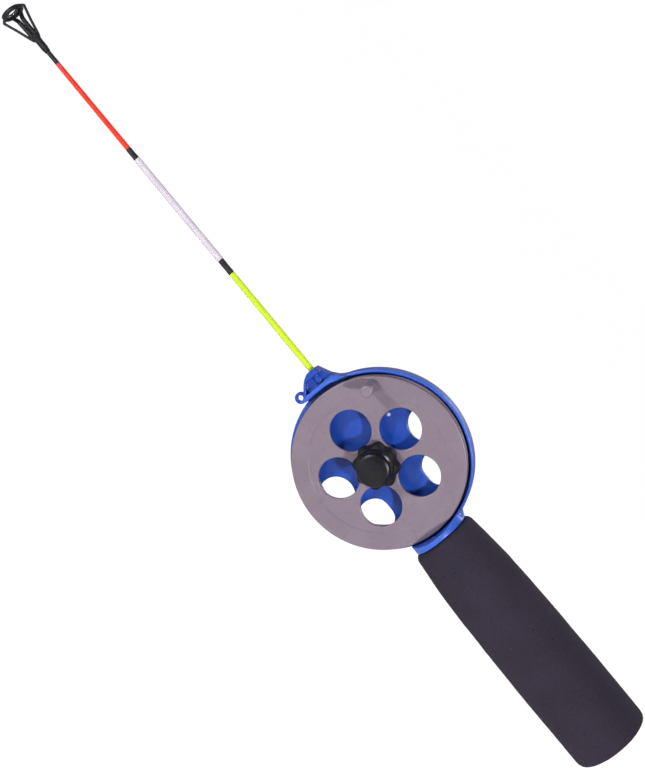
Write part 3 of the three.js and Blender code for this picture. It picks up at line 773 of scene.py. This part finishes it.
def shrink_tube():
    look = Look("black_shrink_tube")
    color = look.mottle(rgb(31, 28, 32), rgb(46, 42, 49), size=2.5, span=(0.35, 0.7))
    normal = look.bump(look.noise(size=1.0, stretch=(1, 0.4, 0.4)), strength=0.5, depth=0.08)
    fine = look.noise(size=0.3, detail=2.0)
    normal = look.bump(fine, strength=0.25, depth=0.02, under=normal)
    rough = look.patches(size=1.7, detail=2.0, to=(0.38, 0.55))
    return look.finish(color=color, rough=rough, normal=normal, spec=0.4)


def guide_black():
    look = Look("black_coated_wire")
    color = look.mottle(rgb(28, 26, 30), rgb(38, 35, 41), size=1.4, span=(0.35, 0.7))
    worn = look.times(look.edges(span=(0.55, 0.66)), look.patches(size=0.9, span=(0.45, 0.65)))
    color = look.mix(look.times(worn, 0.25), color, rgb(120, 118, 122))
    rough = look.patches(size=1.0, to=(0.4, 0.55))
    normal = look.bump(look.noise(size=0.35, rough=0.65), strength=0.15, depth=0.012)
    return look.finish(color=color, rough=rough, normal=normal, spec=0.3,
                       metal=look.times(worn, 0.6))


def ceramic():
    look = Look("ring_ceramic")
    color = look.mottle(rgb(40, 38, 44), rgb(62, 58, 66), size=0.8, span=(0.35, 0.7))
    normal = look.bump(look.noise(size=0.2, detail=2.0), strength=0.1, depth=0.01)
    rough = look.patches(size=0.9, detail=2.0, to=(0.12, 0.22))
    return look.finish(color=color, rough=rough, normal=normal, spec=0.6, coat=0.5,
                       coat_rough=0.08)


def metal(name, first, second, stain, smoothest, brush=(1, 1, 1)):
    """Stained metal; brush stretches the fine grain along each axis."""
    look = Look(name)
    color = look.mottle(first, second, size=3.0, detail=4.0)
    spots = look.patches(size=0.9, detail=4.0, rough=0.65, span=(0.6, 0.75), to=(0.0, 0.5))
    color = look.mix(spots, color, stain)
    normal = look.bump(look.noise(size=0.35, stretch=brush), strength=0.25, depth=0.02)
    normal = look.bump(look.noise(size=1.8), strength=0.2, depth=0.05, under=normal)
    rough = look.plus(look.patches(size=1.2, to=(smoothest, smoothest + 0.14)),
                      look.times(spots, 0.2))
    return look.finish(color=color, metal=1.0, rough=rough, normal=normal)


def fibre():
    look = Look("vulcanised_fibre")
    strands = look.noise(size=0.5, detail=4.0, stretch=(0.3, 1, 1))
    color = look.mix(look.ramp(strands, span=(0.3, 0.7)), rgb(104, 74, 48), rgb(140, 104, 70))
    color = look.mottle(color, rgb(70, 50, 36), size=2.5, span=(0.55, 0.8), to=(0, 0.5))
    rough = look.ramp(strands, span=(0.3, 0.7), to=(0.7, 0.9))
    normal = look.bump(strands, strength=0.4, depth=0.05)
    return look.finish(color=color, rough=rough, normal=normal, spec=0.3)


def fibreglass():
    look = Look("whip_fibreglass")
    lines = look.noise(size=0.4, detail=4.0, stretch=(0.03, 1, 1))
    color = look.mix(look.ramp(lines, span=(0.3, 0.7)), rgb(24, 23, 26), rgb(44, 42, 46))
    normal = look.bump(lines, strength=0.3, depth=0.03)
    return look.finish(color=color, rough=0.32, normal=normal, spec=0.5, coat=0.3,
                       coat_rough=0.15)


BLUE = blue_plastic()
TAUPE = taupe_plastic("taupe_plastic")
TAUPE_KNOB = taupe_plastic("taupe_knob_plastic", light=3)
BLACK = black_plastic()
FOAM = eva_foam()
LIME = vinyl("lime_sleeve_vinyl", rgb(203, 232, 46), rgb(212, 239, 56), mark=rgb(222, 244, 88))
WHITE = vinyl("white_sleeve_vinyl", rgb(212, 202, 214), rgb(221, 212, 223),
              mark=rgb(230, 223, 232), smoothest=0.36)
RED = vinyl("red_sleeve_vinyl", rgb(243, 54, 38), rgb(250, 66, 46), mark=rgb(255, 94, 70),
            tip_span=(-217.3, -212.0), tip_color=rgb(218, 72, 88))
SHRINK = shrink_tube()
GUIDE = guide_black()
CERAMIC = ceramic()
STEEL = metal("zinc_steel", rgb(172, 174, 176), rgb(198, 200, 202),
              stain=rgb(120, 118, 112), smoothest=0.24)
SPRING = metal("spring_steel", rgb(150, 152, 158), rgb(184, 186, 190),
               stain=rgb(96, 92, 90), smoothest=0.3)
BRASS = metal("brass", rgb(188, 146, 74), rgb(212, 172, 96),
              stain=rgb(126, 90, 44), smoothest=0.28, brush=(0.4, 1, 0.4))
FIBRE = fibre()
CORE = fibreglass()

# ---------------------------------------------------------------- build: moulded pieces
# Each box is the low and high corner of the space the field is searched in.
CELL = 0.34
make("reel_frame_moulding",
     surface(frame_field, (LUG_END - 0.1, -13.0, -40.0), (116.1, 13.0, 40.0), CELL),
     BLUE, "reel_frame")
make("spool_moulding", surface(spool_field, (-37.6, -5.8, -37.6), (37.6, 1.0, 37.6), CELL),
     TAUPE, "spool", body="spool")
make("tip_guide_cage",
     surface(guide_field, (-248.5, -5.2, WHIP_Z - 7.4), (-223.9, 5.2, WHIP_Z + 7.4), 0.16),
     GUIDE, "tip_guide")
make("axle_screw", surface(bolt_field, (-4.8, -15.0, -4.8), (4.8, 8.0, 4.8), 0.2),
     STEEL, "axle_bolt")

# ---------------------------------------------------------------- build: winding knob
# Lathe profiles are (place on the axis, radius, corner radius).
WIND_PROFILE = [
    (-10.4, 0), (-10.4, 1.75, 0.2), (-8.85, 1.75, 0.15), (-8.7, 1.33, 0.1), (-0.2, 1.33, 0.15),
    (-0.2, 2.5, 0.15), (-0.5, 2.7, 0.2), (-1.3, 2.6, 0.8), (-4.0, 2.42, 4.0), (-7.5, 2.4, 6.0),
    (-11.0, 2.5, 6.0), (-13.4, 2.68, 2.0), (-14.3, 2.66, 0.6), (-14.9, 2.35, 0.6),
    (-15.12, 1.6, 0.6), (-15.2, 0)]
make("winding_knob_moulding", turned(rounded(WIND_PROFILE, 0.35), 96, "Y", at=WIND),
     TAUPE_KNOB, "winding_knob", body="winding_knob")

# ---------------------------------------------------------------- build: star drag knob
STAR_R, VALLEY_R = 10.25, 8.95     # at the lobes and between them
LOBES = 8
PHASE = math.radians(2)            # turn of the first lobe
CAP_R = 7.7
KNOB_PROFILE = [
    (-15.5, 0), (-15.5, 2.9, 0.3), (-14.1, 2.9, 0.2), (-14.1, 4.0, 0.3), (-9.3, 4.0, 0.2),
    (-9.3, 6.9, 0.3), (-6.3, 6.9, 0.3), (-6.3, STAR_R, 0.6), (-9.6, STAR_R, 1.4),
    (-10.9, STAR_R - 0.5, 1.2), (-11.6, 9.0, 0.9), (-12.1, 8.0, 0.5), (-12.9, CAP_R, 0.6),
    (-14.6, CAP_R - 0.05, 1.6), (-16.0, 7.4, 1.3), (-16.75, 6.75, 1.1), (-17.08, 5.8, 1.6),
    (-17.32, 4.0, 2.0), (-17.45, 1.5, 1.5), (-17.5, 0)]


def lobed(verts):
    """Draw the outer wall in between the lobes, fading out towards the cap."""
    x, y, z = verts.T
    wave = 0.5 * (1 - np.cos(LOBES * (np.arctan2(z, x) - PHASE)))
    fade = np.clip((y + 12.6) / 1.5, 0, 1)
    fade = fade * fade * (3 - 2 * fade)
    outer = np.clip((np.hypot(x, z) - 7.8) / 0.5, 0, 1)
    scale = 1 - (1 - VALLEY_R / STAR_R) * fade * wave * outer
    return np.stack([x * scale, y, z * scale], 1)


make("star_drag_knob", turned(rounded(KNOB_PROFILE, 0.3), 320, "Y", warp=lobed),
     BLACK, "drag_knob", body="drag_knob")

# ---------------------------------------------------------------- build: foam grip
GRIP_PROFILE = [
    (118, 0), (118, 5.85, 0.5), (41.25, 5.85, 0.4), (41.12, 12.8, 0.3), (41.35, 13.5, 0.5),
    (42.0, 14.18, 0.8), (43.2, 14.66, 1.5), (46.3, 15.0, 8), (50, 15.38, 8), (58, 16.08, 20),
    (64, 16.56, 20), (75, 17.0, 40), (85, 17.25, 40), (98, 17.54, 40), (112, 17.64, 40),
    (130, 17.66, 40), (145, 17.62, 20), (150.6, 17.6, 3), (152.0, 17.4, 1.2),
    (152.8, 16.95, 0.8), (153.15, 16.2, 0.8), (153.26, 15.0, 2), (153.27, 10.0, 3), (153.25, 0)]
FOAM_RELIEF = [(0.10, 15, 3), (0.05, 5, 4), (0.030, 1.6, 5), (0.022, 0.8, 6)]  # depth, size, seed


def foamed(verts):
    """Uneven foam skin; the bore stays smooth and the far end moves along X only."""
    rho = np.hypot(verts[:, 1], verts[:, 2])
    skin = np.clip((rho - 8) / 3, 0, 1)
    push = sum(depth * noise(verts, size, seed) for depth, size, seed in FOAM_RELIEF) - 0.10
    end = np.clip((verts[:, 0] - 152.2) / 0.9, 0, 1)
    scale = 1 + skin * (1 - end) * push / np.maximum(rho, 1)
    return np.stack([verts[:, 0] + end * push * 0.8 * (rho > 0.5),
                     verts[:, 1] * scale, verts[:, 2] * scale], 1)


grip_line = rounded(GRIP_PROFILE, 0.5)
make("foam_grip_sleeve", turned(grip_line, 216, "X", warp=foamed),
     FOAM, "foam_grip")

# ---------------------------------------------------------------- build: sleeves along the whip
CORE_START, CORE_END = -41.6, -230.4     # X of the whip core's ends
CORE_START_R, CORE_END_R = 0.95, 0.5
SLEEVE_GAP = 0.1
SLEEVE_STEP = 0.7

# name, CAD node, material, slot, X of the tip end, radius at the reel end and at the tip end,
# seed, lump depth, end rounding, waves as (x, depth, width)
SLEEVES = [
    ("lime_sleeve_tube", "lime_sleeve", LIME, "lime_tube", -101.4, 1.35, 1.33,
     21, 0.03, 0.25, [(-66.0, 0.10, 13.0), (-88.0, 0.04, 10.0)]),
    ("lower_shrink_band", "lower_band", SHRINK, "black_shrink", -108.7, 1.38, 1.4,
     31, 0.05, 0.25, [(-104.6, -0.08, 1.4)]),
    ("white_sleeve_tube", "white_sleeve", WHITE, "white_tube", -164.6, 1.52, 1.46,
     41, 0.03, 0.25, []),
    ("upper_shrink_band", "upper_band", SHRINK, "black_shrink", -170.2, 1.3, 1.27,
     51, 0.05, 0.25, [(-167.2, -0.07, 1.2)]),
    ("red_sleeve_tube", "red_sleeve", RED, "red_tube", -217.4, 1.19, 1.05,
     61, 0.03, 0.25, []),
    ("tip_shrink_wrap", "tip_wrap", SHRINK, "black_shrink", -223.9, 1.02, 1.04,
     71, 0.04, 0.15, [(-220.5, -0.05, 1.0)]),
]


def core_r(x):
    slope = (CORE_END_R - CORE_START_R) * (CORE_START - x) / (CORE_START - CORE_END)
    return CORE_START_R + slope


def sleeve(reel_x, tip_x, reel_r, tip_r, seed, lump, end, waves):
    """A tube over the whip with rounded ends and the small waviness of a shrunk sleeve."""
    count = max(4, int(abs(tip_x - reel_x) / SLEEVE_STEP))
    outer = [(tip_x, core_r(tip_x) + 0.09), (tip_x, tip_r, end)]
    for k in range(1, count):
        x = tip_x + (reel_x - tip_x) * (k / count)
        radius = tip_r + (reel_r - tip_r) * (k / count)
        for place, depth, width in waves:
            radius += depth * math.exp(-(((x - place) / width) ** 2))
        outer.append((x, radius, 0.4))
    outer += [(reel_x, reel_r, end), (reel_x, core_r(reel_x) + 0.09)]

    def wavy(verts):
        rho = np.hypot(verts[:, 1], verts[:, 2])
        skin = np.clip((rho - (core_r(verts[:, 0]) + 0.2)) / 0.15, 0, 1)
        relief = noise(verts, 4.0, seed) * 0.6 + noise(verts, 1.3, seed + 1) * 0.4
        scale = 1 + skin * (lump * relief - lump * 0.4) / np.maximum(rho, 0.2)
        return np.stack([verts[:, 0], verts[:, 1] * scale, verts[:, 2] * scale], 1)

    profile = rounded(outer, SLEEVE_STEP, arc=5)
    return turned(profile, 40, "X", loop=True, warp=wavy, at=(0, 0, WHIP_Z))


reel_end = CORE_START
for name, node, material, slot, tip_end, *shape in SLEEVES:
    make(name, sleeve(reel_end, tip_end, *shape), material, node)
    reel_end = tip_end - SLEEVE_GAP

# ---------------------------------------------------------------- build: tip ring liner
LINER_X, LINER_R = -246.95, 2.66     # centre of the liner's section
LINER_MAX_R = 3.38                   # the section is cut flat here
liner = np.array([
    [LINER_X + 0.8 * math.cos(angle) * (0.9 if math.sin(angle) < 0 else 0.86),
     LINER_R + 0.74 * math.sin(angle)]
    for angle in np.linspace(0, 2 * math.pi, 33)[:-1]])
liner[:, 1] = np.minimum(liner[:, 1], LINER_MAX_R)
make("tip_ring_liner", turned(liner, 96, "X", loop=True, warp=tilt, at=(0, 0, WHIP_Z)),
     CERAMIC, "tip_ring_insert")

# ---------------------------------------------------------------- CAD nodes that stay
KEPT = {
    "spool_bushing": BRASS, "rear_washer": FIBRE, "front_washer": FIBRE, "drag_spring": SPRING,
    "thrust_washer": STEEL, "winding_knob_pin": STEEL, "knob_insert": BRASS, "whip_core": CORE}
for node, material in KEPT.items():
    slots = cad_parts[node].data.materials
    slots.clear()
    slots.append(material)


# ---------------------------------------------------------------- floor
def floor_material():
    """Glows almost white to the camera, plain to other rays, clear from below."""
    material = bpy.data.materials.new("pale_floor")
    tree = cleared_tree(material)
    facing = add_node(tree, "NewGeometry").outputs["Backfacing"]
    plain = add_node(tree, "BsdfDiffuse", {"Color": (0.86, 0.86, 0.86, 1)}).outputs[0]
    glow = add_node(tree, "Emission", {"Color": (1, 1, 1, 1), "Strength": 1.12}).outputs[0]
    camera_ray = add_node(tree, "LightPath").outputs["Is Camera Ray"]
    plain_share = 0.12
    seen = add_node(tree, "MixShader", {0: plain_share, 1: glow, 2: plain}).outputs[0]
    above = add_node(tree, "MixShader", {0: camera_ray, 1: plain, 2: seen}).outputs[0]
    clear = add_node(tree, "BsdfTransparent").outputs[0]
    sides = add_node(tree, "MixShader", {0: facing, 1: above, 2: clear}).outputs[0]
    add_node(tree, "OutputMaterial", {0: sides})
    return material


bpy.ops.mesh.primitive_plane_add(size=24.0, location=(0, 0, -0.35))
floor = bpy.context.object
floor.name = "floor"
floor.data.materials.append(floor_material())


# ---------------------------------------------------------------- world
def studio_world():
    """White to the camera; a dim sky, with a brighter back (+Y) in reflections, to other rays."""
    world = bpy.data.worlds.new("studio")
    bpy.context.scene.world = world
    tree = cleared_tree(world)

    def ramp(value, span, to):
        feed = {"Value": value, "From Min": span[0], "From Max": span[1],
                "To Min": to[0], "To Max": to[1]}
        return add_node(tree, "MapRange", feed).outputs[0]

    def combine(operation, a, b):
        return add_node(tree, "Math", {0: a, 1: b}, operation=operation).outputs[0]

    coord = add_node(tree, "TexCoord").outputs["Generated"]
    _, y, z = add_node(tree, "SeparateXYZ", {0: coord}).outputs
    height = ramp(z, span=(-0.6, 0.9), to=(0.05, 0.105))
    front = ramp(y, span=(-1.0, 0.2), to=(0.55, 1.0))
    sky = combine("MULTIPLY", height, front)
    rays = add_node(tree, "LightPath").outputs
    backdrop = ramp(y, span=(0.0, 0.55), to=(0.0, 1.0))
    gain = ramp(rays["Is Glossy Ray"], span=(0.0, 1.0), to=(0.02, 0.34))
    strength = combine("ADD", sky, combine("MULTIPLY", backdrop, gain))
    soft = add_node(tree, "Background", {"Color": (0.95, 0.96, 1.0, 1), "Strength": strength})
    white = add_node(tree, "Background", {"Color": (1, 1, 1, 1), "Strength": 1.02})
    mixed = add_node(tree, "MixShader", {0: rays["Is Camera Ray"], 1: soft.outputs[0],
                                         2: white.outputs[0]})
    add_node(tree, "OutputWorld", {0: mixed.outputs[0]})


studio_world()

# ---------------------------------------------------------------- lights
LIGHT_DISTANCE = 1.8     # metres from the axle


def softbox(name, towards, size, watts):
    """A round lamp, size metres across, that faces the axle from the given direction."""
    light = bpy.data.lights.new(name, "AREA")
    light.shape = "DISK"
    light.size = size
    light.energy = watts
    lamp = bpy.data.objects.new(name, light)
    direction = Vector(towards).normalized()
    lamp.location = direction * LIGHT_DISTANCE + Vector((AXLE_X * MM, 0, 0))
    lamp.rotation_mode = "QUATERNION"
    lamp.rotation_quaternion = direction.to_track_quat("Z", "Y")
    lamp.visible_camera = False
    bpy.context.scene.collection.objects.link(lamp)


softbox("box_left", towards=(-0.67, -0.74, 0.0), size=0.34, watts=15.0)
softbox("box_right", towards=(0.408, -0.815, 0.412), size=0.18, watts=23.0)
softbox("box_back", towards=(0.12, 0.74, 0.62), size=0.8, watts=12.0)

# ---------------------------------------------------------------- camera
TARGET_X, TARGET_Z = -40.45, 1.89     # mm from the axle
CAMERA_DISTANCE = 509.0               # mm from the target
AZIMUTH, ELEVATION, ROLL = (math.radians(angle) for angle in (0.465, 16.265, 50.195))
LENS = 56.1272727                     # focal length for a 36 mm sensor

back = Vector((math.sin(AZIMUTH) * math.cos(ELEVATION),
               -math.cos(AZIMUTH) * math.cos(ELEVATION), math.sin(ELEVATION)))
level = Vector((math.cos(AZIMUTH), math.sin(AZIMUTH), 0))
upright = back.cross(level)
right = math.cos(ROLL) * level + math.sin(ROLL) * upright
upward = -math.sin(ROLL) * level + math.cos(ROLL) * upright
camera_data = bpy.data.cameras.new("camera")
camera_data.sensor_width = 36.0
camera_data.lens = LENS
camera_data.clip_start, camera_data.clip_end = 0.02, 60.0
camera = bpy.data.objects.new("camera", camera_data)
pose = Matrix((right, upward, back)).transposed().to_4x4()
pose.translation = (Vector((TARGET_X + AXLE_X, 0, TARGET_Z)) + back * CAMERA_DISTANCE) * MM
camera.matrix_world = pose
bpy.context.scene.collection.objects.link(camera)
bpy.context.scene.camera = camera

view = bpy.context.scene.view_settings
view.view_transform = "Standard"
view.look = "None"
view.exposure = 0.0
view.gamma = 1.0
